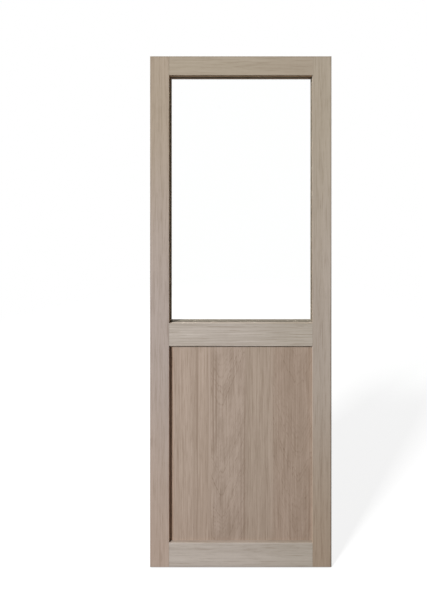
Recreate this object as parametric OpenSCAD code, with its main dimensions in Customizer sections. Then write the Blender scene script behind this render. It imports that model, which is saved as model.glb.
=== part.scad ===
// Sliding door leaf: a dowelled wood frame with a lower panel and a glazed upper light.
// It rolls on two height-adjustable roller cassettes let into the bottom edge,
// and a groove in the top edge runs on a head guide.
// Millimetres. The origin is on the floor line below the middle of the leaf,
// +X to the right, -Y the front face, +Z up.

/* [Leaf] */
// Width of the leaf over both stiles
leaf_w = 725; // [600:1:930]
// Height of the leaf from its bottom edge to its top edge
leaf_h = 2040; // [1900:1:2300]
// Thickness of the leaf
leaf_t = 40; // [38:1:50]
// Gap between the floor line and the bottom edge
floor_gap = 4; // [3:0.5:6]
// Chamfer on the long edges of the wood
arris = 0.8; // [0.3:0.1:1.5]

/* [Frame members] */
// Face width of each stile
stile_w = 76; // [66:1:110]
// Face height of the top rail
top_rail_h = 76; // [72:1:140]
// Face height of the middle rail
middle_rail_h = 91; // [70:1:160]
// Face height of the bottom rail
bottom_rail_h = 96; // [92:1:200]
// Lower edge of the middle rail above the bottom edge of the leaf
middle_rail_at = 882; // [600:1:1100]

/* [Dowel joints] */
// Diameter of a dowel
dowel_d = 10; // [8:0.5:12]
// Length of a dowel
dowel_l = 110; // [60:1:120]
// Distance between the two dowels of one joint
dowel_pitch = 20; // [15:1:24]
// Glue gap around a dowel and past each of its ends
dowel_gap = 0.05; // [0.02:0.01:0.2]
// Chamfer on the ends of a dowel
dowel_chamfer = 1; // [0.5:0.1:2]

/* [Lower panel] */
// Thickness of the panel
panel_t = 22; // [10:1:26]
// Depth of the groove that holds the panel
groove_d = 12; // [8:1:14]
// Gap beside and above the panel in its groove, for the wood to move
panel_gap = 1.5; // [0.5:0.1:3]
// Gap at each face of the panel in its groove
panel_fit = 0.1; // [0.05:0.05:0.4]

/* [Glazing] */
// Thickness of the glass
glass_t = 4; // [3:0.5:6]
// Depth of the rebate behind the sight line
rebate_d = 12; // [10:0.5:16]
// Thickness of the front lip that the glass lies against
lip_t = 16; // [12:0.5:18]
// Thickness of the glazing tape on each face of the glass
tape_t = 2; // [1:0.5:3]
// Distance of the tape behind the sight line
tape_set_back = 1; // [0.5:0.5:2]
// Gap around the edge of the glass
glass_gap = 3; // [2:0.5:4]
// Length of a setting block under the glass
block_l = 60; // [30:1:100]
// Width of a setting block
block_w = 7; // [4:0.5:8]
// Distance of each setting block from the nearer end of the sight line
block_at = 90; // [60:1:150]
// Gap between a bead and the wall of the rebate
bead_fit = 0.2; // [0.1:0.05:0.5]
// Diameter of a bead pin
pin_d = 1.4; // [1:0.1:2]
// Length of a bead pin
pin_l = 25; // [20:1:30]
// Depth of the pin's head below the face of the bead
pin_set = 0.5; // [0.2:0.1:1]
// Distance of the first pin from the end of the bead
pin_end = 50; // [30:1:80]
// Largest distance between two pins
pin_pitch = 240; // [100:1:300]
// Gap around a pin
pin_gap = 0.02; // [0.01:0.01:0.05]

/* [Head guide] */
// Width of the groove in the top edge
guide_w = 12; // [8:0.5:16]
// Depth of the groove in the top edge
guide_d = 18; // [12:0.5:20]

/* [Roller wheels] */
// Distance of each wheel's centre from the inner edge of its stile
wheel_inset = 46; // [43:1:120]
// Diameter of a wheel
wheel_d = 24; // [22:0.5:26]
// Width of a wheel
wheel_w = 8; // [7:0.5:10]
// Chamfer on the edges of the tread
tread_chamfer = 0.8; // [0.3:0.1:1.5]
// Depth of the ring-shaped hollow in each side of a wheel
wheel_dish = 1.5; // [0.5:0.1:2.5]
// Wall of the rim and of the hub beside that hollow
wheel_wall = 2.4; // [1.5:0.1:2.8]
// Diameter of the axle
axle_d = 5; // [4:0.5:6]
// Wall of the bush in the wheel
bush_wall = 1.5; // [1:0.1:2]
// Length by which the bush stands out of each side of the wheel
bush_proud = 0.3; // [0.1:0.1:0.4]
// Running clearance between the axle and the bush
axle_clear = 0.04; // [0.02:0.01:0.08]
// Seat clearance of the bush in the wheel and of the axle in the carriage
seat_fit = 0.02; // [0.01:0.01:0.05]

/* [Roller cassettes] */
// Height that a wheel can be set up or down from the middle
lift = 1.5; // [0.5:0.1:2]
// Rise of the wedge for each millimetre of its length
wedge_slope = 0.2; // [0.16:0.01:0.3]
// Length of the wedge
wedge_l = 18; // [14:1:22]
// Wall of the wedge above its screw
wedge_wall = 2; // [1.5:0.1:3]
// Gap between the sliding faces of the wedge and the carriage
ramp_gap = 0.05; // [0.02:0.01:0.1]
// Sliding clearance of the carriage and the wedge in the case
slide_fit = 0.1; // [0.05:0.01:0.15]
// Thickness of the carriage's cheeks
cheek_t = 1.5; // [1:0.1:2.5]
// Half width of a cheek around the axle
cheek_r = 6; // [5:0.5:8]
// Gap between the wheel and the cheek beside it
wheel_side_gap = 0.5; // [0.5:0.1:1]
// Gap between the wheel and the carriage above and beside it
wheel_gap = 1.2; // [0.6:0.1:2]
// Thinnest part of the carriage above the wheel
bridge_t = 2; // [1.5:0.1:3]
// Length of the carriage past the wheel at each end
fork_margin = 2; // [1:0.5:4]
// Sheet thickness of the case
case_t = 1.5; // [1:0.1:2]
// Free length in the case at each end of the wedge's travel
case_room = 4; // [3:0.5:8]
// Length of each fixing ear of the case
ear_l = 16; // [12:0.5:18]
// Width of each fixing ear
ear_w = 18; // [17:0.5:22]
// Thickness of each fixing ear
ear_t = 2; // [1.5:0.1:3]
// Gap around the case in its pocket
pocket_fit = 0.2; // [0.1:0.05:0.5]

/* [Height screws] */
// Diameter of the screw that moves the wedge
screw_d = 6; // [5:0.5:7]
// Running clearance around the screw
screw_clear = 0.05; // [0.02:0.01:0.08]
// Free height between the screw and the raised carriage
screw_room = 0.7; // [0.4:0.1:1.5]
// Diameter of the screw's head
head_d = 9; // [7.5:0.5:9.5]
// Length of the screw's head
head_l = 5; // [4:0.5:8]
// Width across the flats of the key socket
key_af = 4; // [3:0.5:5]
// Depth of the key socket
key_depth = 3; // [2:0.5:3.5]
// Diameter of the key hole through the stile
key_hole_d = 10; // [10:0.5:14]
// Room around the head in the wider hole behind the key hole
head_room = 0.5; // [0.5:0.1:2]
// Thickness of the clip that holds the screw in the case
clip_t = 0.8; // [0.5:0.1:1.2]
// Diameter of the clip
clip_d = 9; // [8:0.5:9.5]
// Depth of the clip's groove in the screw
clip_groove = 0.7; // [0.4:0.1:1]
// Play of the clip and the head along the screw
clip_play = 0.1; // [0.05:0.05:0.15]

/* [Case screws] */
// Diameter of a case screw
wood_screw_d = 4; // [3:0.5:4.5]
// Diameter of its countersunk head
wood_screw_head_d = 8; // [7:0.5:9]
// Length of a case screw
wood_screw_l = 25; // [16:1:40]
// Length of its point
wood_screw_tip = 4; // [3:0.5:6]
// Gap around a case screw
wood_screw_gap = 0.05; // [0.02:0.01:0.1]
// Width and depth of the cross in its head
cross_w = 0.9; // [0.6:0.1:1.2]

/* [Hidden] */
$fn = 64;
sides = [-1, 1];
past = 1;

oak = "#AD9F8E";
oak_panel = "#A29083";
beech = "#C9A77C";
clear_glass = [0.86, 0.93, 0.92, 0.3];
black_rubber = "#2B2B2B";
grey_plastic = "#55585A";
zinc_steel = "#A9ADB0";
white_nylon = "#E4E2DA";
brass = "#B59A57";

// Levels of the leaf
leaf_z = floor_gap;
leaf_top = leaf_z + leaf_h;
panel_lo = leaf_z + bottom_rail_h;
panel_hi = leaf_z + middle_rail_at;
light_lo = panel_hi + middle_rail_h;
light_hi = leaf_top - top_rail_h;
light_h = light_hi - light_lo;
open_w = leaf_w - 2 * stile_w;
front = -leaf_t / 2;
back = leaf_t / 2;

// Glazing layers from the front lip to the back face
glass_front = front + lip_t + tape_t;
bead_front = glass_front + glass_t + tape_t;
bead_t = back - bead_front;
bead_w = rebate_d - bead_fit;
glass_over = rebate_d - glass_gap;
glass_mid = glass_front + glass_t / 2;
pin_y = back - bead_t / 2;

// Wheel and carriage, measured from the wheel's centre line and up from the bottom edge
wheel_x = open_w / 2 - wheel_inset;
wheel_r = wheel_d / 2;
axle_z = wheel_r - floor_gap;
axle_r = axle_d / 2;
bush_r = axle_r + axle_clear + bush_wall;
fork_in = wheel_w / 2 + wheel_side_gap;
fork_y = fork_in + cheek_t;
fork_end = wheel_r + fork_margin;
bridge_z = axle_z + wheel_r + wheel_gap;

// Ramp between the carriage and the wedge
wedge_end = wedge_l / 2;
wedge_travel = lift / wedge_slope;
ramp_lo = bridge_z + bridge_t;
ramp_hi = ramp_at(wedge_end);
screw_r = screw_d / 2;
screw_z = ramp_hi + lift + screw_room + screw_r;
wedge_top = screw_z + screw_r + wedge_wall;

// Case around them and its pocket in the bottom rail
case_y = fork_y + slide_fit;
case_in = max(wedge_end + wedge_travel + clip_t + case_room, fork_end + slide_fit);
case_out = case_in + case_t;
case_in_z = wedge_top + slide_fit;
case_h = case_in_z + case_t;
ear_end = case_out + ear_l;
ear_hole = case_out + ear_l / 2;
pocket_h = case_h + pocket_fit;
clip_at = case_in - clip_play - clip_t;

// Heights of the dowels, in pairs about the middle of the wood that each rail has free
dowel_zones = [
    [light_hi + rebate_d, leaf_top - guide_d],
    [panel_hi + groove_d, light_lo - rebate_d],
    [leaf_z + pocket_h, panel_lo - groove_d]
];
dowel_levels = [for (zone = dowel_zones) for (s = sides) (zone[0] + zone[1]) / 2 + s * dowel_pitch / 2];

function ramp_at(u) = ramp_lo + wedge_slope * (u + fork_end);

// Evenly spaced places on a bead of the given length, counted from its middle
function pin_places(length) =
    let (span = length - 2 * pin_end, gaps = max(1, ceil(span / pin_pitch)))
    [for (i = [0 : gaps]) -span / 2 + i * span / gaps];

// One corner of a section, cut back where it has a chamfer
function corner(x, y, dx, dy, cut, turn) =
    cut == 0 ? [[x, y]]
    : turn ? [[x + dx * cut, y], [x, y + dy * cut]]
    : [[x, y + dy * cut], [x + dx * cut, y]];

// Rectangle x0 to x1 by y0 to y1, with chamfers on its low-y and high-y corners
module eased_section(x0, x1, y0, y1, cut_lo, cut_hi) {
    polygon(concat(
        corner(x0, y0, 1, 1, cut_lo, false),
        corner(x1, y0, -1, 1, cut_lo, true),
        corner(x1, y1, -1, -1, cut_hi, false),
        corner(x0, y1, 1, -1, cut_hi, true)
    ));
}

module box(x, y, z) {
    translate([x[0], y[0], z[0]]) cube([x[1] - x[0], y[1] - y[0], z[1] - z[0]]);
}

// Turns a section drawn in Y and Z into a bar along X, about the middle of its length
module along_x(length) {
    translate([-length / 2, 0, 0]) rotate([90, 0, 90]) linear_extrude(length) children();
}

// Turns a shape drawn in X and Z into a plate across the leaf
module across(y0, y1) {
    translate([0, y1, 0]) rotate([90, 0, 0]) linear_extrude(y1 - y0) children();
}

module rod_y(radius, y0, y1) {
    translate([0, y1, 0]) rotate([90, 0, 0]) cylinder(r = radius, h = y1 - y0);
}

module rod_x(radius, x0, x1) {
    translate([x0, 0, 0]) rotate([0, 90, 0]) cylinder(r = radius, h = x1 - x0);
}

// Puts a cassette piece at its wheel, drawn with +X towards the near edge of the leaf
module at_roller(side) {
    translate([side * wheel_x, 0, leaf_z])
        if (side > 0) children();
        else mirror([1, 0, 0]) children();
}

// Hollows that are cut through several members at once
module glazing_rebate() {
    half = open_w / 2 + rebate_d;
    box([-half, half], [front + lip_t, back + past], [light_lo - rebate_d, light_hi + rebate_d]);
}

module panel_groove() {
    half_x = open_w / 2 + groove_d;
    half_y = panel_t / 2 + panel_fit;
    box([-half_x, half_x], [-half_y, half_y], [panel_lo - groove_d, panel_hi + groove_d]);
}

module guide_groove() {
    half = leaf_w / 2 + past;
    box([-half, half], [-guide_w / 2, guide_w / 2], [leaf_top - guide_d, leaf_top + past]);
}

module at_dowels() {
    for (side = sides, z = dowel_levels)
        translate([side * open_w / 2, 0, z]) rotate([0, 90, 0]) children();
}

module dowel_holes() {
    at_dowels() cylinder(d = dowel_d + 2 * dowel_gap, h = dowel_l + 2 * dowel_gap, center = true);
}

// Each pin starts on the sight line and points into its frame member
module at_pins(side_x = sides, side_z = sides) {
    for (s = side_x, z = pin_places(light_h))
        translate([s * open_w / 2, pin_y, (light_lo + light_hi) / 2 + z]) rotate([0, s * 90, 0]) children();
    for (s = side_z, x = pin_places(open_w))
        translate([x, pin_y, s > 0 ? light_hi : light_lo]) rotate([s > 0 ? 0 : 180, 0, 0]) children();
}

module pin_hole() {
    translate([0, 0, -past]) cylinder(d = pin_d + 2 * pin_gap, h = past + pin_set + pin_l + pin_gap);
}

// Key hole through the stile, and the wider hole in the bottom rail around the head of the height screw
module key_holes() {
    for (side = sides)
        at_roller(side) translate([0, 0, screw_z]) {
            rod_x(key_hole_d / 2, wheel_inset - past, wheel_inset + stile_w + past);
            rod_x(max(head_d, key_hole_d) / 2 + head_room, case_out, wheel_inset);
        }
}

module case_screw_places() {
    for (side = sides)
        at_roller(side)
            for (s = sides)
                translate([s * ear_hole, 0, 0]) children();
}

module case_screw_body(gap) {
    cylinder(r1 = wood_screw_head_d / 2 + gap, r2 = wood_screw_d / 2 + gap, h = ear_t);
    cylinder(d = wood_screw_d + 2 * gap, h = wood_screw_l - wood_screw_tip + gap);
    translate([0, 0, wood_screw_l - wood_screw_tip + gap])
        cylinder(r1 = wood_screw_d / 2 + gap, r2 = gap, h = wood_screw_tip);
}

module roller_pockets() {
    for (side = sides)
        at_roller(side) {
            half_x = case_out + pocket_fit;
            half_y = case_y + case_t + pocket_fit;
            box([-half_x, half_x], [-half_y, half_y], [-past, pocket_h]);
            ear_x = ear_end + pocket_fit;
            ear_y = ear_w / 2 + pocket_fit;
            box([-ear_x, ear_x], [-ear_y, ear_y], [-past, ear_t]);
        }
    case_screw_places() case_screw_body(wood_screw_gap);
}

// Frame
module stile(side) {
    color(oak) difference() {
        translate([side * (leaf_w - stile_w) / 2, 0, leaf_z])
            linear_extrude(leaf_h)
                eased_section(-stile_w / 2, stile_w / 2, front, back, arris, arris);
        glazing_rebate();
        panel_groove();
        guide_groove();
        dowel_holes();
        at_pins(side_x = [side], side_z = []) pin_hole();
        key_holes();
    }
}
module stile_left() { stile(-1); }
module stile_right() { stile(1); }

module top_rail() {
    color(oak) difference() {
        along_x(open_w) eased_rail(light_hi, leaf_top, arris, 0);
        glazing_rebate();
        guide_groove();
        dowel_holes();
        at_pins(side_x = [], side_z = [1]) pin_hole();
    }
}

module middle_rail() {
    color(oak) difference() {
        along_x(open_w) eased_rail(panel_hi, light_lo, arris, arris);
        glazing_rebate();
        panel_groove();
        dowel_holes();
        at_pins(side_x = [], side_z = [-1]) pin_hole();
    }
}

module bottom_rail() {
    color(oak) difference() {
        along_x(open_w) eased_rail(leaf_z, panel_lo, 0, arris);
        panel_groove();
        dowel_holes();
        roller_pockets();
        key_holes();
    }
}

module eased_rail(z0, z1, cut_lo, cut_hi) { eased_section(front, back, z0, z1, cut_lo, cut_hi); }

module lower_panel() {
    half = open_w / 2 + groove_d - panel_gap;
    color(oak_panel)
        box([-half, half], [-panel_t / 2, panel_t / 2], [panel_lo - groove_d, panel_hi + groove_d - panel_gap]);
}

module frame_dowels() {
    half = dowel_l / 2;
    r = dowel_d / 2;
    color(beech) at_dowels() rotate_extrude() polygon([
        [0, -half], [r - dowel_chamfer, -half], [r, dowel_chamfer - half],
        [r, half - dowel_chamfer], [r - dowel_chamfer, half], [0, half]
    ]);
}

// Glazing
module glass_pane() {
    half = open_w / 2 + glass_over;
    color(clear_glass)
        box([-half, half], [glass_front, glass_front + glass_t], [light_lo - glass_over, light_hi + glass_over]);
}

// Mitred bead, its sight line along X at z = 0 and its body above it
module bead(length) {
    outer = length / 2 + bead_w;
    intersection() {
        across(bead_front, back)
            polygon([[-length / 2, 0], [length / 2, 0], [outer, bead_w], [-outer, bead_w]]);
        along_x(2 * outer) polygon([
            [bead_front, 0], [back - arris, 0], [back, arris], [back, bead_w], [bead_front, bead_w]
        ]);
    }
}

module side_bead(s) {
    color(oak) difference() {
        translate([s * open_w / 2, 0, (light_lo + light_hi) / 2]) rotate([0, s * 90, 0]) bead(light_h);
        at_pins(side_x = [s], side_z = []) pin_hole();
    }
}
module bead_left() { side_bead(-1); }
module bead_right() { side_bead(1); }

module bead_top() {
    color(oak) difference() {
        translate([0, 0, light_hi]) bead(open_w);
        at_pins(side_x = [], side_z = [1]) pin_hole();
    }
}

module bead_bottom() {
    color(oak) difference() {
        translate([0, 0, light_lo]) mirror([0, 0, 1]) bead(open_w);
        at_pins(side_x = [], side_z = [-1]) pin_hole();
    }
}

// Tape strips: the level ones run the full width of the glass, the upright ones stand between them
module level_tape(s, y0) {
    half = open_w / 2 + glass_over;
    sight = s > 0 ? light_hi + tape_set_back : light_lo - glass_over;
    color(black_rubber) box([-half, half], [y0, y0 + tape_t], [sight, sight + glass_over - tape_set_back]);
}

module upright_tape(s, y0) {
    inner = open_w / 2 + tape_set_back;
    outer = open_w / 2 + glass_over;
    x = s > 0 ? [inner, outer] : [-outer, -inner];
    color(black_rubber) box(x, [y0, y0 + tape_t], [light_lo - tape_set_back, light_hi + tape_set_back]);
}
module front_tape_top() { level_tape(1, glass_front - tape_t); }
module front_tape_bottom() { level_tape(-1, glass_front - tape_t); }
module front_tape_left() { upright_tape(-1, glass_front - tape_t); }
module front_tape_right() { upright_tape(1, glass_front - tape_t); }
module back_tape_top() { level_tape(1, glass_front + glass_t); }
module back_tape_bottom() { level_tape(-1, glass_front + glass_t); }
module back_tape_left() { upright_tape(-1, glass_front + glass_t); }
module back_tape_right() { upright_tape(1, glass_front + glass_t); }

module setting_blocks() {
    floor_z = light_lo - rebate_d;
    color(grey_plastic) for (s = sides) {
        x = s * (open_w / 2 - block_at);
        box([x - block_l / 2, x + block_l / 2], [glass_mid - block_w / 2, glass_mid + block_w / 2],
            [floor_z, floor_z + glass_gap]);
    }
}

module bead_pins() {
    color(zinc_steel) at_pins() translate([0, 0, pin_set]) cylinder(d = pin_d, h = pin_l);
}

// Roller cassettes
module axle_slot(y0, y1) {
    slot_r = axle_r + slide_fit;
    reach = lift + slide_fit;
    for (s = sides) translate([0, 0, axle_z + s * reach]) rod_y(slot_r, y0, y1);
    box([-slot_r, slot_r], [y0, y1], [axle_z - reach, axle_z + reach]);
}

module roller_case(side) {
    wall_y = case_y + case_t;
    color(zinc_steel) at_roller(side) difference() {
        union() {
            box([-case_out, case_out], [-wall_y, wall_y], [0, case_h]);
            box([-ear_end, ear_end], [-ear_w / 2, ear_w / 2], [0, ear_t]);
        }
        box([-case_in, case_in], [-case_y, case_y], [-past, case_in_z]);
        axle_slot(-wall_y - past, wall_y + past);
        translate([0, 0, screw_z]) rod_x(screw_r + screw_clear, -case_out - past, case_out + past);
        for (s = sides) translate([s * ear_hole, 0, 0]) case_screw_body(wood_screw_gap);
    }
}
module roller_case_left() { roller_case(-1); }
module roller_case_right() { roller_case(1); }

module carriage_cheek(y0, y1) {
    translate([0, 0, axle_z]) rod_y(cheek_r, y0, y1);
    box([-cheek_r, cheek_r], [y0, y1], [axle_z, bridge_z]);
}

module roller_carriage(side) {
    color(zinc_steel) at_roller(side) difference() {
        union() {
            across(-fork_y, fork_y) polygon([
                [-fork_end, bridge_z], [fork_end, bridge_z], [fork_end, ramp_hi], [wedge_end, ramp_hi],
                [-fork_end, ramp_lo]
            ]);
            carriage_cheek(-fork_y, -fork_in);
            carriage_cheek(fork_in, fork_y);
        }
        translate([0, 0, axle_z]) rod_y(axle_r + seat_fit, -fork_y - past, fork_y + past);
    }
}
module roller_carriage_left() { roller_carriage(-1); }
module roller_carriage_right() { roller_carriage(1); }

module roller_axle(side) {
    half = case_y + case_t - slide_fit;
    color(zinc_steel) at_roller(side) translate([0, 0, axle_z]) rod_y(axle_r, -half, half);
}
module roller_axle_left() { roller_axle(-1); }
module roller_axle_right() { roller_axle(1); }

module wheel_bush(side) {
    half = wheel_w / 2 + bush_proud;
    color(brass) at_roller(side) translate([0, 0, axle_z]) difference() {
        rod_y(bush_r, -half, half);
        rod_y(axle_r + axle_clear, -half - past, half + past);
    }
}
module wheel_bush_left() { wheel_bush(-1); }
module wheel_bush_right() { wheel_bush(1); }

module roller_wheel(side) {
    half = wheel_w / 2;
    bore = bush_r + seat_fit;
    hub = bore + wheel_wall;
    rim = wheel_r - wheel_wall;
    floor_y = half - wheel_dish;
    color(white_nylon) at_roller(side) translate([0, 0, axle_z]) rotate([90, 0, 0]) rotate_extrude() polygon([
        [bore, -half], [hub, -half], [hub, -floor_y], [rim, -floor_y], [rim, -half],
        [wheel_r - tread_chamfer, -half], [wheel_r, tread_chamfer - half],
        [wheel_r, half - tread_chamfer], [wheel_r - tread_chamfer, half],
        [rim, half], [rim, floor_y], [hub, floor_y], [hub, half], [bore, half]
    ]);
}
module roller_wheel_left() { roller_wheel(-1); }
module roller_wheel_right() { roller_wheel(1); }

module height_wedge(side) {
    color(brass) at_roller(side) difference() {
        across(-fork_y, fork_y) polygon([
            [-wedge_end, ramp_at(-wedge_end) + ramp_gap], [wedge_end, ramp_at(wedge_end) + ramp_gap],
            [wedge_end, wedge_top], [-wedge_end, wedge_top]
        ]);
        translate([0, 0, screw_z]) rod_x(screw_r + screw_clear, -wedge_end - past, wedge_end + past);
    }
}
module height_wedge_left() { height_wedge(-1); }
module height_wedge_right() { height_wedge(1); }

module height_screw(side) {
    head = case_out + clip_play;
    color(zinc_steel) at_roller(side) translate([0, 0, screw_z]) difference() {
        union() {
            rod_x(screw_r, clip_play - case_out, clip_at);
            rod_x(screw_r - clip_groove, clip_at, clip_at + clip_t);
            rod_x(screw_r, clip_at + clip_t, head);
            rod_x(head_d / 2, head, head + head_l);
        }
        translate([head + head_l - key_depth, 0, 0]) rotate([0, 90, 0])
            cylinder(d = key_af / cos(30), h = key_depth + past, $fn = 6);
    }
}
module height_screw_left() { height_screw(-1); }
module height_screw_right() { height_screw(1); }

// Open ring pushed into the screw's groove from below
module screw_clip(side) {
    mouth = screw_r - clip_groove;
    bore = mouth + seat_fit;
    color(zinc_steel) at_roller(side) translate([0, 0, screw_z]) difference() {
        rod_x(clip_d / 2, clip_at + seat_fit, clip_at + clip_t - seat_fit);
        rod_x(bore, clip_at - past, clip_at + clip_t + past);
        box([clip_at - past, clip_at + clip_t + past], [-mouth, mouth], [-clip_d, 0]);
    }
}
module screw_clip_left() { screw_clip(-1); }
module screw_clip_right() { screw_clip(1); }

module case_screws() {
    half = wood_screw_head_d / 3;
    color(zinc_steel) case_screw_places() difference() {
        case_screw_body(0);
        for (turn = [0, 90]) rotate(turn)
            box([-half, half], [-cross_w / 2, cross_w / 2], [-past, cross_w]);
    }
}

stile_left();
stile_right();
top_rail();
middle_rail();
bottom_rail();
lower_panel();
frame_dowels();
glass_pane();
bead_top();
bead_bottom();
bead_left();
bead_right();
front_tape_top();
front_tape_bottom();
front_tape_left();
front_tape_right();
back_tape_top();
back_tape_bottom();
back_tape_left();
back_tape_right();
setting_blocks();
bead_pins();
roller_case_left();
roller_case_right();
roller_carriage_left();
roller_carriage_right();
roller_wheel_left();
roller_wheel_right();
wheel_bush_left();
wheel_bush_right();
roller_axle_left();
roller_axle_right();
height_wedge_left();
height_wedge_right();
height_screw_left();
height_screw_right();
screw_clip_left();
screw_clip_right();
case_screws();
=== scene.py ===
# Raw oak sliding door leaf: finishes, hardware detail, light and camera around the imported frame
import math

import bmesh
import bpy
import numpy as np
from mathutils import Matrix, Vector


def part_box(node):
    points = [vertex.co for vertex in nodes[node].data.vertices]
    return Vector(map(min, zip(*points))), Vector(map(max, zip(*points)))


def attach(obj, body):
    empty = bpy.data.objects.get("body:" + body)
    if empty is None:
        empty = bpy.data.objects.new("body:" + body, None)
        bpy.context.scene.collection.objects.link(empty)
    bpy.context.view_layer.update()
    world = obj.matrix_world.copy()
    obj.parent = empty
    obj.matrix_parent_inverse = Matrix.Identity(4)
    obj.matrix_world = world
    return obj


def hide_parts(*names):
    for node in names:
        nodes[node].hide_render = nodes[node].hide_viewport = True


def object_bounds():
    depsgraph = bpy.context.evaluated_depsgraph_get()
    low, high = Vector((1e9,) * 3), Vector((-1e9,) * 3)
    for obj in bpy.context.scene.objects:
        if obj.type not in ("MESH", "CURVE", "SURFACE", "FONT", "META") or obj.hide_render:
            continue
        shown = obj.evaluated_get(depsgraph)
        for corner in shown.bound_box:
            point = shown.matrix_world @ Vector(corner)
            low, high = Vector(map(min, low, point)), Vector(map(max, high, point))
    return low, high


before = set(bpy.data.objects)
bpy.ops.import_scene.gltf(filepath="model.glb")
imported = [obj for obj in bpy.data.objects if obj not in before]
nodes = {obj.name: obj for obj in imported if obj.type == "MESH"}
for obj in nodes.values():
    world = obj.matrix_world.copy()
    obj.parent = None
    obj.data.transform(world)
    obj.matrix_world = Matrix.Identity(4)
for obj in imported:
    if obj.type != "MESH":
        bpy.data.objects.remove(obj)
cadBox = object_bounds()
sides = ("left", "right")


class Value:
    # one output socket of a finish; arithmetic on it adds Math nodes
    def __init__(self, finish, socket):
        self.finish = finish
        self.socket = socket

    def math(self, operation, *others):
        return self.finish.node("ShaderNodeMath", {"operation": operation}, dict(enumerate((self, *others))))

    def __add__(self, other):
        return self.math("ADD", other)

    def __radd__(self, other):
        return self.math("ADD", other)

    def __sub__(self, other):
        return self.math("SUBTRACT", other)

    def __rsub__(self, other):
        return self.finish.node("ShaderNodeMath", {"operation": "SUBTRACT"}, {0: other, 1: self})

    def __mul__(self, other):
        return self.math("MULTIPLY", other)

    def __rmul__(self, other):
        return self.math("MULTIPLY", other)

    def __truediv__(self, other):
        return self.math("DIVIDE", other)

    def __pow__(self, other):
        return self.math("POWER", other)

    def __abs__(self):
        return self.math("ABSOLUTE")


mixSockets = {"amount": 0, "first": 6, "second": 7, "result": 2}  # a Mix node's numbers for colours
noiseMean = 0.5


class Finish:
    # the nodes of a material or of the sky, built up by node()
    def __init__(self, holder):
        holder.use_nodes = True
        self.holder = holder
        self.tree = holder.node_tree
        self.shader = self.tree.nodes.get("Principled BSDF")

    def node(self, kind, settings=None, sockets=None, out=0):
        made = self.tree.nodes.new(kind)
        for key, setting in (settings or {}).items():
            setattr(made, key, setting)
        for key, value in (sockets or {}).items():
            self.feed(made.inputs[key], value)
        return Value(self, made.outputs[out])

    def feed(self, socket, value):
        if isinstance(value, Value):
            self.tree.links.new(value.socket, socket)
        elif socket.type == "RGBA":
            socket.default_value = (*value, 1)
        else:
            socket.default_value = value

    def set(self, **values):
        for key, value in values.items():
            self.feed(self.shader.inputs[key.replace("_", " ")], value)

    def surface(self, shader):
        self.feed(self.tree.nodes["Material Output"].inputs["Surface"], shader)

    def place(self):
        spot = self.node("ShaderNodeTexCoord", out="Object")
        return [self.node("ShaderNodeSeparateXYZ", None, {0: spot}, axis) for axis in "XYZ"]

    def noise(self, x, y, z, detail, rough):
        spot = self.node("ShaderNodeCombineXYZ", None, {"X": x, "Y": y, "Z": z})
        return self.node("ShaderNodeTexNoise", {"noise_dimensions": "3D"},
                         {"Vector": spot, "Scale": 1.0, "Detail": detail, "Roughness": rough})

    def step(self, value, low, high):
        # smooth step from 0 at low to 1 at high
        return self.node("ShaderNodeMapRange", {"interpolation_type": "SMOOTHSTEP"},
                         {"Value": value, "From Min": low, "From Max": high})

    def mix(self, amount, first, second, how="MIX"):
        sockets = {mixSockets["amount"]: amount, mixSockets["first"]: first, mixSockets["second"]: second}
        settings = {"data_type": "RGBA", "blend_type": how}
        return self.node("ShaderNodeMix", settings, sockets, mixSockets["result"])

    def tint(self, amount, colour, by):
        # multiplies the colour by another where amount is 1
        return self.mix(amount, colour, by, "MULTIPLY")

    def bump(self, height, strength, distance):
        self.set(Normal=self.node("ShaderNodeBump", None,
                                  {"Strength": strength, "Distance": distance, "Height": height}))

    def rays(self, *kinds):
        # 1 on light rays of any of these kinds, else 0
        found, *more = [self.node("ShaderNodeLightPath", None, None, kind) for kind in kinds]
        for other in more:
            found = found.math("MAXIMUM", other)
        return found


def newFinish(name):
    return Finish(bpy.data.materials.new(name))


def dress(node, material):
    mesh = nodes[node].data
    mesh.materials.clear()
    mesh.materials.append(material)


# Oak. Growth rings are circles round a pith line that lies beside or behind the board:
# ring = fraction((distance from the pith + taper * way along the grain) / ring gap + feather * noise).
# The trunk's taper makes the arches. A board may be glued up from staves, each with its own pith, tone
# and seed, and may have dark or pale streaks. pale, warm, ring and pore multiply the base colour.
# foot and crown tint the low and the high end of the grain, that is the top of an upright and the right end
# of a rail:
# partly the wood's own tone, partly painted shade and painted light standing in for the lamps' falloff.
# edges paint shade or light on the strips along a reveal or an arris, ends paint shade on the cut ends.
# Each board adds its own base colour, seed and staves.
oakLook = {
    "foot": None,
    "crown": None,
    "pale": (1.12, 1.12, 1.12),
    "warm": (0.87, 0.85, 0.82),
    "ring": (0.62, 0.57, 0.51),
    "pore": (0.40, 0.34, 0.28),
    "wander": 0.012,
    "poreDark": 0.45,
    "seams": [],
    "seamDark": [],
    "darkMarks": [],
    "paleMarks": [],
    "edges": [],
    "ends": None,
}
plainStave = {"pithAcross": 0.0, "pithDepth": 0.30, "taper": 0.002, "ringGap": 0.0042, "feather": 1.3,
              "ringDark": 0.42, "mottle": 0.0}
plainTone = {"tone": 1.0, "hue": 0.5, "rich": 1.0}

# noise layers of the grain: cycles to a metre across and along it, detail, roughness
oakLayers = {
    "drift": (5, 0.9, 2, 0.5),
    "ragged": (95, 5, 4, 0.62),
    "streak": (180, 3.4, 5, 0.62),
    "broad": (16, 0.6, 2, 0.5),
    "torn": (240, 11, 3, 0.5),
    "pore": (1400, 42, 1, 0.5),
    "fibre": (3200, 60, 2, 0.5),
}
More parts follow.
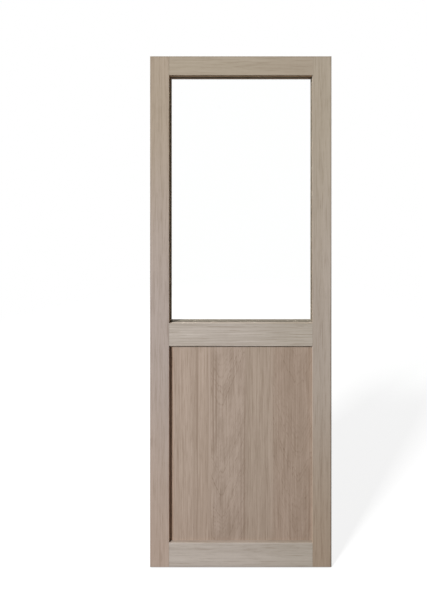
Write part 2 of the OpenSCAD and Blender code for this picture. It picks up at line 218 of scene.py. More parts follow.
# a pair of numbers is a smooth step, from 0 to 1; Least is what stays where the value is 0
oakGrain = {
    "swell": (0.6, 2.6, 4, 0.6),  # as a layer, but the same through the thickness
    "mottle": (45, 11, 3, 0.6),  # as a layer, but its clouds lean
    "mottleLean": 9,
    "ringSetsIn": (0.0, 0.08),  # the share of a ring over which its early wood darkens, then fades
    "ringFades": (0.08, 0.62),
    "ringLeast": 0.1,
    "tear": (0.30, 0.62),
    "tearLeast": 0.25,
    "fleck": (0.50, 0.68),
    "fleckDark": 0.34,
    "pore": (0.54, 0.72),
    "poreLeast": 0.3,
    "streakShare": 0.62,
    "tone": (0.36, 0.64),
    "driftSway": 0.012,  # how far the streaks stray from their lines
    "raggedSway": 0.002,
    "markCore": 0.15,
    "seedStep": 7.3,
    "seamSoft": 0.022,
    "seamLine": (0.0003, 0.0022),
    "endBlur": 0.15,  # these three are shares of the board's length
    "foot": (0.02, 0.46),
    "crown": (0.55, 0.08),
    "rough": 0.78,
    "roughSpread": 0.14,
    "gloss": 0.15,
    "fibreHeight": 0.35,
    "ringDepth": 0.25,
    "bump": (0.35, 0.0003),  # strength and depth
}

# strips of painted shade or painted light along an edge; a depth is measured from the middle of the leaf's
# thickness
edgeLook = {"skin": 0.001, "revealReach": 0.0016, "topReach": 0.0010, "panelReach": 0.016, "core": 0.5,
            "arrisDeep": 0.0015, "arrisReach": 0.006, "blend": 0.002}
faceDepth = cadBox[1].y
insideDepth = (-edgeLook["skin"], faceDepth - edgeLook["skin"])
arrisDepth = (faceDepth - edgeLook["arrisDeep"], faceDepth + edgeLook["skin"])


def stepped(masks, values):
    # one value for each stave: the first, plus each change at its seam
    total = values[0]
    for mask, before, after in zip(masks, values, values[1:]):
        total = mask * (after - before) + total
    return total


def staveValues(finish, look, across):
    # the grain changes at once at a seam, the tone softly
    staves = [{**plainStave, **plainTone, **stave} for stave in look["staves"]]
    soft = oakGrain["seamSoft"]
    masks = [across.math("GREATER_THAN", seam) for seam in look["seams"]]
    softMasks = [finish.step(across, seam - soft, seam + soft) for seam in look["seams"]]
    values = {key: stepped(masks, [stave[key] for stave in staves]) for key in plainStave}
    values.update({key: stepped(softMasks, [stave[key] for stave in staves]) for key in plainTone})
    values["seed"] = stepped(masks, [look["seed"] + oakGrain["seedStep"] * i for i in range(len(staves))])
    return values


def atLeast(least, value):
    # squeezes 0 to 1 into least to 1
    return value * (1 - least) + least


def oakFigure(finish, look, stave, along, across, y):
    # early wood, pores, flecks and tone from 0 to 1, fibres, broad clouds and the streaks' sway
    side = across + stave["seed"]
    layer = {}
    for name, (wide, long, detail, rough) in oakLayers.items():
        layer[name] = finish.noise(side * wide, y * wide, along * long, detail, rough)
    drift, ragged = layer["drift"] - noiseMean, layer["ragged"] - noiseMean
    wide, long, detail, rough = oakGrain["swell"]
    swell = finish.noise(side * wide, 0.0, along * long + stave["seed"], detail, rough) - noiseMean
    wide, long, detail, rough = oakGrain["mottle"]
    leaning = side * wide - along * oakGrain["mottleLean"]
    mottle = finish.noise(leaning, y * wide, along * long, detail, rough) - noiseMean

    aside = across - stave["pithAcross"] + drift * look["wander"]
    behind = y - (swell * look["wander"] + stave["pithDepth"])
    radius = (aside * aside + behind * behind) ** 0.5
    phase = (radius + along * stave["taper"]) / stave["ringGap"] + ragged * stave["feather"]
    ring = phase.math("FRACT")
    each = finish.node("ShaderNodeTexWhiteNoise", {"noise_dimensions": "1D"},
                       {"W": phase.math("FLOOR") + stave["seed"]})
    early = (1 - finish.step(ring, *oakGrain["ringFades"])) * finish.step(ring, *oakGrain["ringSetsIn"])
    early = early * atLeast(oakGrain["ringLeast"], each * each)
    early = early * atLeast(oakGrain["tearLeast"], finish.step(layer["torn"], *oakGrain["tear"]))

    share = oakGrain["streakShare"]
    cloud = layer["streak"] * share + layer["broad"] * (1 - share) + mottle * stave["mottle"]
    return {
        "early": early,
        "pore": finish.step(layer["pore"], *oakGrain["pore"]) * atLeast(oakGrain["poreLeast"], early),
        "fleck": finish.step(layer["torn"], *oakGrain["fleck"]),
        "tone": finish.step(cloud, *oakGrain["tone"]),
        "fibre": layer["fibre"],
        "broad": layer["broad"],
        "sway": drift * oakGrain["driftSway"] + ragged * oakGrain["raggedSway"],
    }


def oakColour(finish, look, stave, figure, shade):
    colour = finish.mix(figure["tone"], shade["pale"], shade["warm"])
    darkening = figure["early"] * stave["ringDark"] + figure["fleck"] * oakGrain["fleckDark"]
    colour = finish.mix(darkening, colour, shade["ring"])
    colour = finish.mix(figure["pore"] * look["poreDark"], colour, shade["pore"])
    if look["seams"]:
        sockets = {"Hue": stave["hue"], "Saturation": stave["rich"], "Value": stave["tone"], "Color": colour}
        colour = finish.node("ShaderNodeHueSaturation", None, sockets)
    return colour


def oakMark(finish, along, across, at, wide, low, high, strength):
    # a streak that swells to its middle: its strength on its line, 0 beyond its width and its ends
    middle, half = (low + high) / 2, (high - low) / 2
    taper = 1 - finish.step(abs(along - middle), half * oakGrain["markCore"], half)
    return taper * (1 - finish.step(abs(across - at), 0.0, wide)) * strength


def oakStreaks(finish, look, colour, shade, along, across, sway):
    strayed = across + sway
    pale = [oakMark(finish, along, strayed, *mark) for mark in look["paleMarks"]]
    dark = [(1 - finish.step(abs(across - seam), *oakGrain["seamLine"])) * strength
            for seam, strength in zip(look["seams"], look["seamDark"])]
    dark += [oakMark(finish, along, strayed, *mark) for mark in look["darkMarks"]]
    for marks, tone in ((pale, "pale"), (dark, "ring")):
        if marks:
            colour = finish.mix(sum(marks), colour, shade[tone])
    return colour


def oakToneAndPaintedLight(finish, look, colour, along, across, deep, low, high, broad):
    length = high - low
    blurred = along + (broad - noiseMean) * (oakGrain["endBlur"] * length)
    # foot and crown: partly the wood's tone, partly painted shade and painted light for the lamps' falloff
    if look["foot"]:
        start, end = [low + share * length for share in oakGrain["foot"]]
        colour = finish.tint(1 - finish.step(blurred, start, end), colour, look["foot"])
    if look["crown"]:
        start, end = [high - share * length for share in oakGrain["crown"]]
        colour = finish.tint(finish.step(blurred, start, end), colour, look["crown"])
    # edges: painted shade, or painted light, on strips along reveals, ledges and arrises
    for edge in look["edges"]:
        near = 1 - finish.step(abs(across - edge["at"]), edge["reach"] * edgeLook["core"], edge["reach"])
        shallow, deepest = edge["depth"]
        near = near * deep.math("GREATER_THAN", shallow) * deep.math("LESS_THAN", deepest)
        if "grows" in edge:
            near = near * finish.step(along, *edge["grows"])
        if "fades" in edge:
            near = near * (1 - finish.step(along, *edge["fades"]))
        colour = finish.tint(near, colour, edge["tint"])
    # ends: painted shade on a strip along each cut end
    if look["ends"]:
        reach = edgeLook["arrisReach"]
        toEnd = abs(along - (low + high) / 2) - length / 2
        nearEnd = finish.step(toEnd, -reach, -reach * edgeLook["core"])
        colour = finish.tint(nearEnd * deep.math("GREATER_THAN", arrisDepth[0]), colour, look["ends"])
    return colour


def oakFinish(name, grain, node, **changes):
    look = {**oakLook, **changes}
    shade = {key: tuple(a * b for a, b in zip(look["base"], look[key]))
             for key in ("pale", "warm", "ring", "pore")}
    low, high = [corner.z if grain == "upright" else corner.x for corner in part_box(node)]
    finish = newFinish(name)
    x, y, z = finish.place()
    along, across = (z, x) if grain == "upright" else (x, z)
    stave = staveValues(finish, look, across)
    figure = oakFigure(finish, look, stave, along, across, y)
    colour = oakColour(finish, look, stave, figure, shade)
    colour = oakStreaks(finish, look, colour, shade, along, across, figure["sway"])
    colour = oakToneAndPaintedLight(finish, look, colour, along, across, abs(y), low, high, figure["broad"])
    finish.set(Base_Color=colour, Roughness=oakGrain["rough"] + oakGrain["roughSpread"] * figure["tone"],
               Specular_IOR_Level=oakGrain["gloss"])
    raised = figure["fibre"] * oakGrain["fibreHeight"] - figure["pore"]
    finish.bump(raised - figure["early"] * oakGrain["ringDepth"], *oakGrain["bump"])
    return finish.holder


def board(pithAcross, pithDepth, base, seed, **more):
    # a board of one stave
    stave = {"pithAcross": pithAcross, "pithDepth": pithDepth}
    return {"staves": [stave], "base": base, "seed": seed, **more}


def inside(at, tint, reach=edgeLook["revealReach"], **more):
    return {"at": at, "reach": reach, "depth": insideDepth, "tint": tint, **more}


def arris(at, tint, **more):
    return {"at": at, "reach": edgeLook["arrisReach"], "depth": arrisDepth, "tint": tint, **more}


innerEdge, outerEdge = [corner.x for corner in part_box("stile_right")]
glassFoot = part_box("middle_rail")[1].z
atGlassFoot = (glassFoot - edgeLook["blend"], glassFoot)
# painted shade on the right stile's reveal beside the glass and on the right bead
shadedReveal = inside(innerEdge, (0.46, 0.42, 0.38), grows=atGlassFoot)
# painted shade on the key-lit right reveal of the panel's recess
shadedPanelReveal = inside(innerEdge, (0.78, 0.77, 0.76), fades=atGlassFoot)
# painted bounce light: the left stile's shaded reveals are tinted warmer
bounceLitReveal = inside(-innerEdge, (1.25, 1.0, 0.75))
# painted shade: a slightly darker strip along arrises and cut ends
arrisShade = (0.89, 0.88, 0.87)
calm = {"pale": (1.06, 1.06, 1.06), "warm": (0.94, 0.93, 0.92)}

# marks are (across, half width, from, to along the grain, strength)
# crown and foot in this table are partly painted light and shade for the lamps' falloff: darker and yellower
# at the stiles' tops and the rails' right ends, darker at the foot of the right stile and of the panel; the
# left stile's warmer foot is the wood's own tone
oakPieces = {
    "stile_left": ("upright", board(
        -0.52, 0.16, (0.416, 0.348, 0.311), 3.1, **calm,
        foot=(1.03, 0.96, 0.89), crown=(0.91, 0.89, 0.77),
        edges=[arris(cadBox[0].x, arrisShade), bounceLitReveal],
        ends=arrisShade)),
    "stile_right": ("upright", board(
        0.10, 0.21, (0.425, 0.363, 0.310), 11.7, **calm,
        foot=(0.86, 0.785, 0.70), crown=(0.94, 0.94, 0.87),
        # painted shade: both reveals darkened, and a dark line along the outer arris, strongest low down
        edges=[shadedReveal, shadedPanelReveal, arris(outerEdge, (0.80, 0.79, 0.78)),
               arris(outerEdge, (0.62, 0.60, 0.58), fades=(0.7, 1.6))],
        ends=arrisShade)),
    "top_rail": ("level", board(
        2.20, 0.12, (0.394, 0.335, 0.261), 21.3, **calm,
        crown=(0.955, 0.945, 0.945),
        # painted light: the underside of the top rail, in the reveal over the glass, made brighter and
        # warmer
        edges=[inside(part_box("top_rail")[0].z, (2.5, 2.0, 1.65), edgeLook["topReach"]),
               arris(cadBox[1].z, arrisShade)])),
    "middle_rail": ("level", board(
        1.02, 0.10, (0.499, 0.446, 0.399), 33.9,
        wander=0.03, crown=(0.93, 0.93, 0.90),
        darkMarks=[(0.912, 0.004, -0.05, 0.42, 0.35)],
        paleMarks=[(0.955, 0.005, -0.30, 0.20, 0.5)],
        # painted shade on the rail's top face under the glass and on its front arris
        edges=[inside(glassFoot, (0.90, 0.86, 0.82)), arris(glassFoot, (0.84, 0.83, 0.82))])),
    "bottom_rail": ("level", board(
        -0.10, 0.13, (0.478, 0.422, 0.375), 41.2, **calm,
        wander=0.02, crown=(0.90, 0.90, 0.87),
        # painted shade on the rail's top face in the panel's recess and on its bottom arris
        edges=[inside(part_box("bottom_rail")[1].z, (0.69, 0.65, 0.61)),
               arris(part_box("bottom_rail")[0].z, (0.78, 0.77, 0.76))])),
    "lower_panel": ("upright", {
        "base": (0.401, 0.317, 0.260), "seed": 57.4, "wander": 0.05,
        "foot": (0.96, 0.945, 0.94), "pale": (1.11, 1.11, 1.11), "warm": (0.88, 0.86, 0.83),
        "seams": [-0.176, -0.120, 0.019, 0.130],
        "seamDark": [0.20, 0.10, 0.20, 0.10],
        "paleMarks": [(-0.127, 0.006, 0.16, 1.20, 0.95), (-0.078, 0.005, 0.60, 1.10, 0.6)],
        "darkMarks": [(-0.176, 0.005, 0.00, 1.40, 0.45), (-0.113, 0.005, 0.30, 0.94, 0.75),
                      (-0.101, 0.005, 0.34, 1.00, 0.75), (0.000, 0.004, -0.30, 0.60, 0.45),
                      (0.0145, 0.005, -0.40, 1.00, 0.75), (0.100, 0.004, 0.05, 0.55, 0.30),
                      (0.190, 0.004, 0.25, 0.56, 0.35), (0.274, 0.006, 0.02, 0.55, 0.40)],
        # painted bounce light: warmer within the shadow along the panel's left edge
        "edges": [inside(-innerEdge, (1.14, 0.97, 0.84), edgeLook["panelReach"])],
        "staves": [
            {"pithAcross": -0.62, "pithDepth": 0.20, "ringGap": 0.0058, "tone": 1.05},
            {"pithAcross": 0.25, "pithDepth": 0.22, "ringGap": 0.0052, "tone": 1.08},
            {"pithAcross": -0.088, "pithDepth": 0.004, "taper": -0.40, "ringGap": 0.0080, "feather": 2.8,
             "ringDark": 0.62, "mottle": 0.6, "tone": 0.975},
            {"pithAcross": -0.30, "pithDepth": 0.26, "ringGap": 0.0060, "tone": 0.99, "hue": 0.504},
            {"pithAcross": 0.228, "pithDepth": 0.005, "taper": -0.36, "ringGap": 0.0085, "feather": 2.8,
             "ringDark": 0.45, "mottle": 0.25, "tone": 0.94, "rich": 1.08},
        ]}),
    # painted light and shade: the top bead is much lighter, the bottom bead darker and the left bead warmer
    # than the oak around them
    "bead_top": ("level", board(2.3, 0.2, (0.72, 0.54, 0.42), 61.0)),
    "bead_bottom": ("level", board(1.2, 0.2, (0.29, 0.243, 0.196), 67.0)),
    "bead_left": ("upright", board(-0.6, 0.2, (0.42, 0.315, 0.22), 71.0)),
    "bead_right": ("upright", board(0.6, 0.2, (0.39, 0.325, 0.26), 77.0, edges=[shadedReveal])),
}
for piece, (grain, changes) in oakPieces.items():
    dress(piece, oakFinish("oak_" + piece, grain, piece, **changes))
print("oak:", len(oakPieces), "pieces")


# Small parts: two close tones in a fine cloud, with a matching change of gloss
cloudLook = {"detail": 4, "rough": 0.6, "spread": (0.3, 0.7), "roughSpread": 0.16, "bump": 0.4}
drawnOut = (40, 1, 1)  # lines along X
smallLooks = {
    "tape": {"name": "closed_foam", "colour": (0.052, 0.040, 0.029), "second": (0.070, 0.055, 0.041),
             "scale": 2500, "rough": 0.85, "bumpDepth": 0.0002},
    "block": {"name": "hard_block", "colour": (0.085, 0.090, 0.095), "second": (0.110, 0.115, 0.120),
              "scale": 900, "rough": 0.55, "bumpDepth": 0.00003},
    "beech": {"name": "beech_dowel", "colour": (0.50, 0.34, 0.19), "second": (0.62, 0.46, 0.29),
              "scale": 900, "rough": 0.6, "bumpDepth": 0.0001, "stretch": (20, 1, 1)},
    "zinc": {"name": "zinc_plate", "colour": (0.40, 0.41, 0.42), "second": (0.52, 0.53, 0.53),
             "scale": 1600, "rough": 0.36, "bumpDepth": 0.00002, "stretch": drawnOut, "metal": 1.0},
    "steel": {"name": "bright_steel", "colour": (0.36, 0.36, 0.37), "second": (0.46, 0.46, 0.47),
              "scale": 1200, "rough": 0.30, "bumpDepth": 0.00001, "metal": 1.0},
    "nylon": {"name": "moulded_nylon", "colour": (0.68, 0.67, 0.62), "second": (0.76, 0.75, 0.71),
              "scale": 600, "rough": 0.42, "bumpDepth": 0.00002},
    "brass": {"name": "milled_brass", "colour": (0.52, 0.35, 0.12), "second": (0.64, 0.46, 0.19),
              "scale": 1400, "rough": 0.30, "bumpDepth": 0.00002, "stretch": drawnOut, "metal": 1.0},
}
# which CAD nodes wear which finish, by a part of their name; the turned hardware brings its own
wears = {
    "tape": ["_tape_"],
    "block": ["setting_blocks"],
    "beech": ["frame_dowels"],
    "zinc": ["roller_case", "roller_carriage"],
    "steel": ["bead_pins", "roller_axle", "screw_clip"],
    "brass": ["wheel_bush", "height_wedge"],
}


def speckled(name, colour, second, scale, rough, bumpDepth, stretch=(1, 1, 1), metal=0.0):
    finish = newFinish(name)
    place = [coordinate * (scale / long) for coordinate, long in zip(finish.place(), stretch)]
    cloud = finish.noise(*place, cloudLook["detail"], cloudLook["rough"])
    spread = cloudLook["roughSpread"]
    finish.set(Base_Color=finish.mix(finish.step(cloud, *cloudLook["spread"]), colour, second),
               Metallic=metal, Roughness=rough - spread / 2 + spread * cloud)
    finish.bump(cloud, cloudLook["bump"], bumpDepth)
    return finish.holder


smallFinishes = {key: speckled(**look) for key, look in smallLooks.items()}
for finishName, parts in wears.items():
    for node in nodes:
        if any(part in node for part in parts):
            dress(node, smallFinishes[finishName])


# Glass: clear float that lets lamp light through, a little greener and duller at its rim
glassLook = {
    "body": (0.995, 1.0, 0.997),
    "rim": (0.78, 0.93, 0.87),
    "rimWide": 0.014,
    "rimRough": 0.03,
    "smearScale": (9, 9, 6),
    "smearNoise": (5, 0.65),
    "smear": (0.45, 0.80),
    "smearRough": 0.02,
    "passing": (0.90, 0.93, 0.915),
    "bending": 1.5,
}


def glassFinish():
    finish = newFinish("clear_float")
    x, y, z = finish.place()
    low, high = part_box("glass_pane")
    middle, half = (low + high) / 2, (high - low) / 2
    beyond = (abs(x - middle.x) - half.x).math("MAXIMUM", abs(z - middle.z) - half.z)
    rim = finish.step(beyond, -glassLook["rimWide"], 0.0)
    place = [coordinate * scale for coordinate, scale in zip((x, y, z), glassLook["smearScale"])]
    smear = finish.step(finish.noise(*place, *glassLook["smearNoise"]), *glassLook["smear"])
    finish.set(Base_Color=finish.mix(rim, glassLook["body"], glassLook["rim"]),
               Roughness=smear * glassLook["smearRough"] + rim * glassLook["rimRough"],
               IOR=glassLook["bending"], Transmission_Weight=1.0)
    pane = Value(finish, finish.shader.outputs["BSDF"])
    passing = finish.node("ShaderNodeBsdfTransparent", None, {"Color": glassLook["passing"]})
    lampLight = finish.rays("Is Shadow Ray", "Is Diffuse Ray")
    finish.surface(finish.node("ShaderNodeMixShader", None, {0: lampLight, 1: pane, 2: passing}))
    return finish.holder


dress("glass_pane", glassFinish())
print("small parts and glass dressed")


# Turned hardware. Each piece is a grid of rings on an axis:
# point(i, j) = start + axis * reach(i, j) + radius(i, j) * (up * cos(turn j) + side * sin(turn j))
creaseAngle = 35  # degrees


def turns(count):
    return np.arange(count) * 2 * np.pi / count


def ringPoints(reach, radius, start, axis, up):
    axis, up = np.array(axis, float), np.array(up, float)
    side = np.cross(axis, up)
    turn = turns(radius.shape[1])[None, :, None]
    points = (np.array(start) + reach[..., None] * axis
              + radius[..., None] * (np.cos(turn) * up + np.sin(turn) * side))
    return points.reshape(-1, 3)


def ringFaces(rings, count, closed):
    # quads between neighbouring rings; a closed profile joins the last ring to the first
    row = np.arange(rings if closed else rings - 1)[:, None] * count
    after = (row + count) % (rings * count)
    here, there = np.arange(count), (np.arange(count) + 1) % count
    return np.stack([row + here, row + there, after + there, after + here], -1).reshape(-1, 4)


def capFaces(count, firstRing, lastRing, firstPole, lastPole):
    # triangle fans that close both ends on one point each
    here, there = np.arange(count), (np.arange(count) + 1) % count
    first = np.stack([np.full(count, firstPole), firstRing + there, firstRing + here], -1)
    last = np.stack([np.full(count, lastPole), lastRing + here, lastRing + there], -1)
    return np.concatenate([first, last])


def closedTurning(reach, radius, start, axis, up):
    # the first and last rows are the two end points, given with radius 0
    points = ringPoints(reach[1:-1], radius[1:-1], start, axis, up)
    poles = ringPoints(reach[[0, -1], :1], radius[[0, -1], :1], start, axis, up)
    rings, count = reach.shape[0] - 2, reach.shape[1]
    caps = capFaces(count, 0, (rings - 1) * count, rings * count, rings * count + 1)
    return np.concatenate([points, poles]), ringFaces(rings, count, False), caps


def stack(count, *rows):
    # rows of (reach, radius), each a number or one value for each turn step
    wide = [[np.broadcast_to(value, count) for value in row] for row in rows]
    return np.array([row[0] for row in wide]), np.array([row[1] for row in wide])


def threadCut(begin, end, look):
    # where a thread's rings lie
    return np.linspace(begin, end, int((end - begin) / look["pitch"] * look["steps"]))


def threaded(first, cut, thread, last):
    # the rows before a thread, its rings and the rows after it
    reach = np.concatenate([first[0], np.repeat(cut[:, None], thread.shape[1], 1), last[0]])
    return reach, np.concatenate([first[1], thread, last[1]])


def makePiece(name, points, quads, caps, body, slot, node, material):
    mesh = bpy.data.meshes.new(name)
    mesh.from_pydata(points.tolist(), [], quads.tolist() + caps.tolist())
    built = bmesh.new()
    built.from_mesh(mesh)
    bmesh.ops.recalc_face_normals(built, faces=built.faces)
    built.to_mesh(mesh)
    built.free()
    mesh.shade_smooth()
    mesh.set_sharp_from_angle(angle=math.radians(creaseAngle))
    mesh.materials.append(material)
    piece = bpy.data.objects.new(name, mesh)
    bpy.context.scene.collection.objects.link(piece)
    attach(piece, body)
    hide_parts(node)


# Wheel: a moulded tyre with a hollow and six ribs on each side.
# The profile is a closed outline whose corners are eased by quadratic curves, then spaced evenly.
wheelLook = {"bore": 0.00406, "wall": 0.0024, "dish": 0.0015, "crown": 0.00006,
             "ease": 0.00045, "easeShare": 0.45, "easePoints": 7,
             "ribs": 6, "ribLow": 0.0003, "ribStart": 0.93, "ribFlank": 0.05,
             "profile": 132, "turnSteps": 120}


def easedOutline(corners):
    look = wheelLook
    back, ahead = np.roll(corners, 1, 0) - corners, np.roll(corners, -1, 0) - corners
    start, end = [corners + way * np.minimum(look["ease"] / np.linalg.norm(way, axis=1)[:, None],
                                             look["easeShare"]) for way in (back, ahead)]
    t = np.linspace(0, 1, look["easePoints"])[None, :, None]
    path = (1 - t) ** 2 * start[:, None] + 2 * t * (1 - t) * corners[:, None] + t ** 2 * end[:, None]
    path = path.reshape(-1, 2)
    path = np.concatenate([path, path[:1]])
    run = np.concatenate([[0], np.cumsum(np.linalg.norm(np.diff(path, axis=0), axis=1))])
    even = np.linspace(0, run[-1], look["profile"], endpoint=False)
    return np.interp(even, run, path[:, 0]), np.interp(even, run, path[:, 1])


def makeWheel(side):
    look = wheelLook
    low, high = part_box("roller_wheel_" + side)
    centre, half, rim = (low + high) / 2, (high.y - low.y) / 2, (high.z - low.z) / 2
    bore, edge, floor = look["bore"], rim - look["crown"], half - look["dish"]
    hub, lip = bore + look["wall"], rim - look["wall"]
    corners = np.array([(bore, -half), (hub, -half), (hub, -floor), (lip, -floor), (lip, -half),
                        (edge, -half), (rim, 0), (edge, half),
                        (lip, half), (lip, floor), (hub, floor), (hub, half), (bore, half)])
    turn = turns(look["turnSteps"])
    radius, reach = [np.repeat(line[:, None], len(turn), 1) for line in easedOutline(corners)]
    rib = np.abs(np.cos(turn * look["ribs"] / 2))
    rib = np.clip((rib - look["ribStart"]) / look["ribFlank"], 0, 1)[None, :]
    inDish = (radius > hub) & (radius < lip)
    ribTop = floor + rib * (look["dish"] - look["ribLow"])
    reach = np.where(inDish, np.sign(reach) * np.maximum(np.abs(reach), ribTop), reach)
    points = ringPoints(reach, radius, centre, (0, 1, 0), (0, 0, 1))
    noCaps = np.zeros((0, 3), int)
    makePiece("tyre_" + side, points, ringFaces(*radius.shape, True), noCaps, "wheel_" + side, "wheel_nylon",
              "roller_wheel_" + side, smallFinishes["nylon"])


# Height screw: thread radius = shank - depth * wave(reach / pitch - turn), a right-hand helix,
# then the clip's groove, a round head and a hexagon socket: radius = half flats / cos(turn within one side)
heightScrewLook = {"shank": 0.0030, "pitch": 0.0010, "depth": 0.00052, "flank": 1.3, "flat": 0.15,
                   "point": 0.0006, "groove": 0.0007, "head": 0.0050, "edge": 0.00035,
                   "flats": 0.0040, "socket": 0.0030, "steps": 8, "turnSteps": 60}


def threadWave(reach, turn):
    # 0 on a crest, 1 in a root, with short flats on both
    look = heightScrewLook
    ramps = np.abs(2 * ((reach / look["pitch"] - turn / (2 * np.pi)) % 1) - 1)
    return np.clip(ramps * look["flank"] - look["flat"], 0, 1)


def makeHeightScrew(side):
    look = heightScrewLook
    low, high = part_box("height_screw_" + side)
    out = 1 if low.x + high.x > 0 else -1
    start = ((low if out > 0 else high).x, (low.y + high.y) / 2, (low.z + high.z) / 2)
    length, headRadius = high.x - low.x, (high.z - low.z) / 2
    grooveLow, grooveHigh = sorted(abs(clip.x - start[0]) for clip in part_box("screw_clip_" + side))
    turn = turns(look["turnSteps"])
    shank, edge, shoulder = look["shank"], look["edge"], length - look["head"]
    hexagon = look["flats"] / 2 / np.cos((turn % (np.pi / 3)) - np.pi / 6)
    threadEnd = grooveLow - look["pitch"]
    cut = threadCut(look["point"], threadEnd, look)
    fade = np.clip((threadEnd - cut) / look["pitch"], 0, 1)[:, None]
    thread = shank - look["depth"] * fade * threadWave(cut[:, None], turn[None, :])
    first = stack(len(turn), (0, 0), (0, shank - look["point"]))
    last = stack(len(turn), (grooveLow, shank), (grooveLow, shank - look["groove"]),
                 (grooveHigh, shank - look["groove"]), (grooveHigh, shank), (shoulder, shank),
                 (shoulder, headRadius - edge), (shoulder + edge, headRadius), (length - edge, headRadius),
                 (length, headRadius - edge), (length, hexagon + edge), (length - edge, hexagon),
                 (length - look["socket"], hexagon), (length - look["socket"] - edge, 0))
    reach, radius = threaded(first, cut, thread, last)
    makePiece("height_bolt_" + side, *closedTurning(reach, radius, start, (out, 0, 0), (0, 0, 1)),
              "screw_" + side, "screw_steel", "height_screw_" + side, smallFinishes["steel"])


# Case screw: crossed recess, countersunk head, core with a sharp helical ridge and a point.
# Recess radius = the larger of two crossed bars' outlines at each turn
caseScrewLook = {"ear": 0.016, "length": 0.025, "rim": 0.00397, "rimFlat": 0.0002, "rimEdge": 0.00012,
                 "neck": 0.00195, "neckLong": 0.0004, "sink": 0.0020, "plain": 0.0030,
                 "core": 0.00135, "crest": 0.00195, "pitch": 0.0018, "ridge": 0.20,
                 "tip": 0.0040, "tipLeast": 0.02,
                 "arm": 0.0024, "bar": 0.00055, "recess": 0.0014, "recessFoot": 0.55,
                 "steps": 9, "turnSteps": 64}
tiny = 1e-6  # keeps a division finite


def crossOutline(turn, arm, bar):
    across, up = np.abs(np.cos(turn)) + tiny, np.abs(np.sin(turn)) + tiny
    return np.maximum(np.minimum(arm / across, bar / up), np.minimum(arm / up, bar / across))


def caseScrewRings():
    look = caseScrewLook
    turn = turns(look["turnSteps"])
    cross = crossOutline(turn, look["arm"], look["bar"])
    begin = look["sink"] + look["plain"]
    cut = threadCut(begin, look["length"], look)
    taper = np.clip((look["length"] - cut) / look["tip"], look["tipLeast"], 1)[:, None]
    phase = np.abs(((cut[:, None] / look["pitch"] - turn[None, :] / (2 * np.pi)) % 1) - 0.5)
    ridge = np.clip(1 - phase / look["ridge"], 0, 1) * np.clip((cut - begin) / look["pitch"], 0, 1)[:, None]
    thread = (look["core"] + (look["crest"] - look["core"]) * ridge) * taper
    first = stack(len(turn), (look["recess"], 0), (look["recess"], cross * look["recessFoot"]), (0, cross),
                  (0, look["rim"] - look["rimFlat"]), (look["rimEdge"], look["rim"]),
                  (look["sink"], look["neck"]), (look["sink"] + look["neckLong"], look["neck"]),
                  (begin, look["core"]))
    return threaded(first, cut, thread, stack(len(turn), (look["length"], 0)))


def makeCaseScrews():
    reach, radius = caseScrewRings()
    points, quads, caps = [], [], []
    count = 0
    for side in sides:
        low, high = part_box("roller_case_" + side)
        for ear in (low.x + caseScrewLook["ear"] / 2, high.x - caseScrewLook["ear"] / 2):
            made = closedTurning(reach, radius, (ear, 0, low.z), (0, 0, 1), (1, 0, 0))
            points.append(made[0])
            quads.append(made[1] + count)
            caps.append(made[2] + count)
            count += len(made[0])
    makePiece("case_woodscrews", *[np.concatenate(part) for part in (points, quads, caps)],
              "leaf", "screw_steel", "case_screws", smallFinishes["steel"])


for side in sides:
    makeWheel(side)
    makeHeightScrew(side)
makeCaseScrews()
print("turned hardware made")


# Camera: level, so uprights stay parallel; its axis meets the leaf at axisPixel of the 427 by 600 picture
shot = {
    "picture": (427, 600),
    "leafTopLeft": (150.3, 56.3),
    "leafBottomRight": (331.3, 567.0),
    "axisPixel": (250.0, 196.0),
    "distance": 1.08,
    "sensor": 36.0,
}


def placeCamera():
    low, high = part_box("stile_left")[0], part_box("stile_right")[1]
    left, top = shot["leafTopLeft"]
    right, bottom = shot["leafBottomRight"]
    metre = (high.z - low.z) / (bottom - top)
    centre = (left + right) / 2
    axisX, axisY = shot["axisPixel"]
    wide, tall = shot["picture"]
    camera = bpy.data.cameras.new("camera")
    camera.sensor_width = shot["sensor"]
    camera.lens = shot["sensor"] / tall * shot["distance"] / metre
    camera.shift_x = (wide / 2 - axisX) / tall
    camera.shift_y = (axisY - tall / 2) / tall
    holder = bpy.data.objects.new("camera", camera)
    holder.location = ((axisX - centre) * metre, low.y - shot["distance"], low.z + (bottom - axisY) * metre)
    holder.rotation_euler = (math.pi / 2, 0, 0)
    bpy.context.scene.collection.objects.link(holder)
    bpy.context.scene.camera = holder
    return metre


metrePerPixel = placeCamera()
print("camera: %.2f mm to a pixel" % (metrePerPixel * 1000))


# Light: a window-like key from the upper left, two fills for the back and the right edge, a low even sky
light = {
    "target": (0.0, 0.0, 1.05),
    "lamps": {
        "window_key": {"towards": (-1.25, -1.0, 0.95), "away": 16.0, "size": (2.8, 2.8), "level": 1.645},
        "back_fill": {"towards": (-0.30, 1.0, 0.30), "away": 7.0, "size": (2.5, 2.5), "level": 0.72},
        "side_fill": {"towards": (1.0, 0.0, 0.10), "away": 6.0, "size": (0.3, 2.0), "level": 0.45},
    },
    "sky": 0.08,
    "floorHalf": 4.5,
    "floorGlow": 0.79,
    "floorShade": 0.21,
    "floorFade": (1.4, 3.8),
    "floorBounce": 0.12,
    "gapShadowSide": 0.004,
    "gapShadowFace": 0.005,
}


def placeLamp(name, towards, away, size, level):
    # level is the light that a white card facing the lamp at the target gives back
    lamp = bpy.data.lights.new(name, "AREA")
    lamp.shape = "RECTANGLE"
    lamp.size, lamp.size_y = size
    lamp.energy = level * (math.pi * away) ** 2
    holder = bpy.data.objects.new(name, lamp)
    target = Vector(light["target"])
    holder.location = target + Vector(towards).normalized() * away
    holder.rotation_euler = (holder.location - target).to_track_quat("Z", "Y").to_euler()
    holder.visible_camera = False  # so that the lamp behind the leaf doesn't show through the pane
    holder.visible_transmission = False
    bpy.context.scene.collection.objects.link(holder)


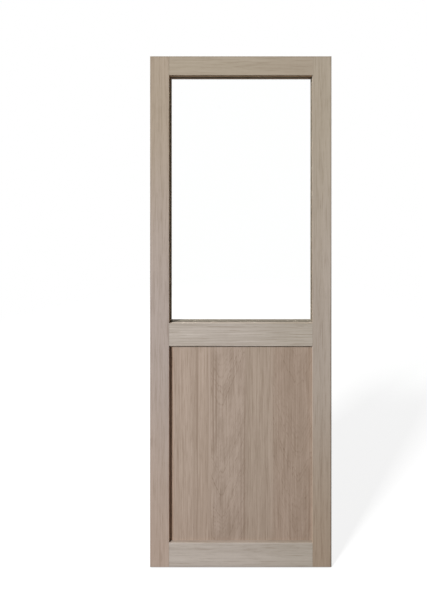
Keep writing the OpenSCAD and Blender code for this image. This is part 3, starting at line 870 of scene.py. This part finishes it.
def seenDirectly(finish):
    return finish.rays("Is Camera Ray", "Is Glossy Ray", "Is Transmission Ray")


def placeSky():
    sky = Finish(bpy.data.worlds.new("sky"))
    bpy.context.scene.world = sky.holder
    ground = sky.tree.nodes["Background"]
    sky.feed(ground.inputs["Color"], (1, 1, 1))
    sky.feed(ground.inputs["Strength"], seenDirectly(sky) * (1 - light["sky"]) + light["sky"])


def floorFinish():
    finish = newFinish("white_floor")
    finish.tree.nodes.remove(finish.shader)
    x, y = finish.place()[:2]
    # painted shadow: the glow stops below the leaf, so its gap over the floor stays dark
    side, face = cadBox[1].x, cadBox[1].y
    offSide = finish.step(abs(x), side - light["gapShadowSide"], side)
    offFace = finish.step(abs(y), face - light["gapShadowFace"], face)
    gapShadow = (1 - offSide) * (1 - offFace)
    glow = finish.node("ShaderNodeEmission", None, {"Color": (1 - gapShadow) * light["floorGlow"]})
    shade = finish.node("ShaderNodeBsdfDiffuse", None, {"Color": (light["floorShade"],) * 3})
    bounce = finish.node("ShaderNodeBsdfDiffuse", None, {"Color": (light["floorBounce"],) * 3})
    nearLeaf = finish.node("ShaderNodeAddShader", None, {0: glow, 1: shade})
    # further out the floor runs into the plain white of the sky
    white = finish.node("ShaderNodeEmission", None, {"Color": (1, 1, 1)})
    away = finish.step((x * x + y * y) ** 0.5, *light["floorFade"])
    seen = finish.node("ShaderNodeMixShader", None, {0: away, 1: nearLeaf, 2: white})
    finish.surface(finish.node("ShaderNodeMixShader", None, {0: seenDirectly(finish), 1: bounce, 2: seen}))
    return finish.holder


def placeFloor():
    half = light["floorHalf"]
    mesh = bpy.data.meshes.new("floor")
    corners = [(-half, -half, 0), (half, -half, 0), (half, half, 0), (-half, half, 0)]
    mesh.from_pydata(corners, [], [(0, 1, 2, 3)])
    mesh.materials.append(floorFinish())
    floor = bpy.data.objects.new("floor", mesh)
    bpy.context.scene.collection.objects.link(floor)


for name, lamp in light["lamps"].items():
    placeLamp(name, **lamp)
placeSky()
placeFloor()
bpy.context.scene.view_settings.view_transform = "Standard"
print("light and floor placed")
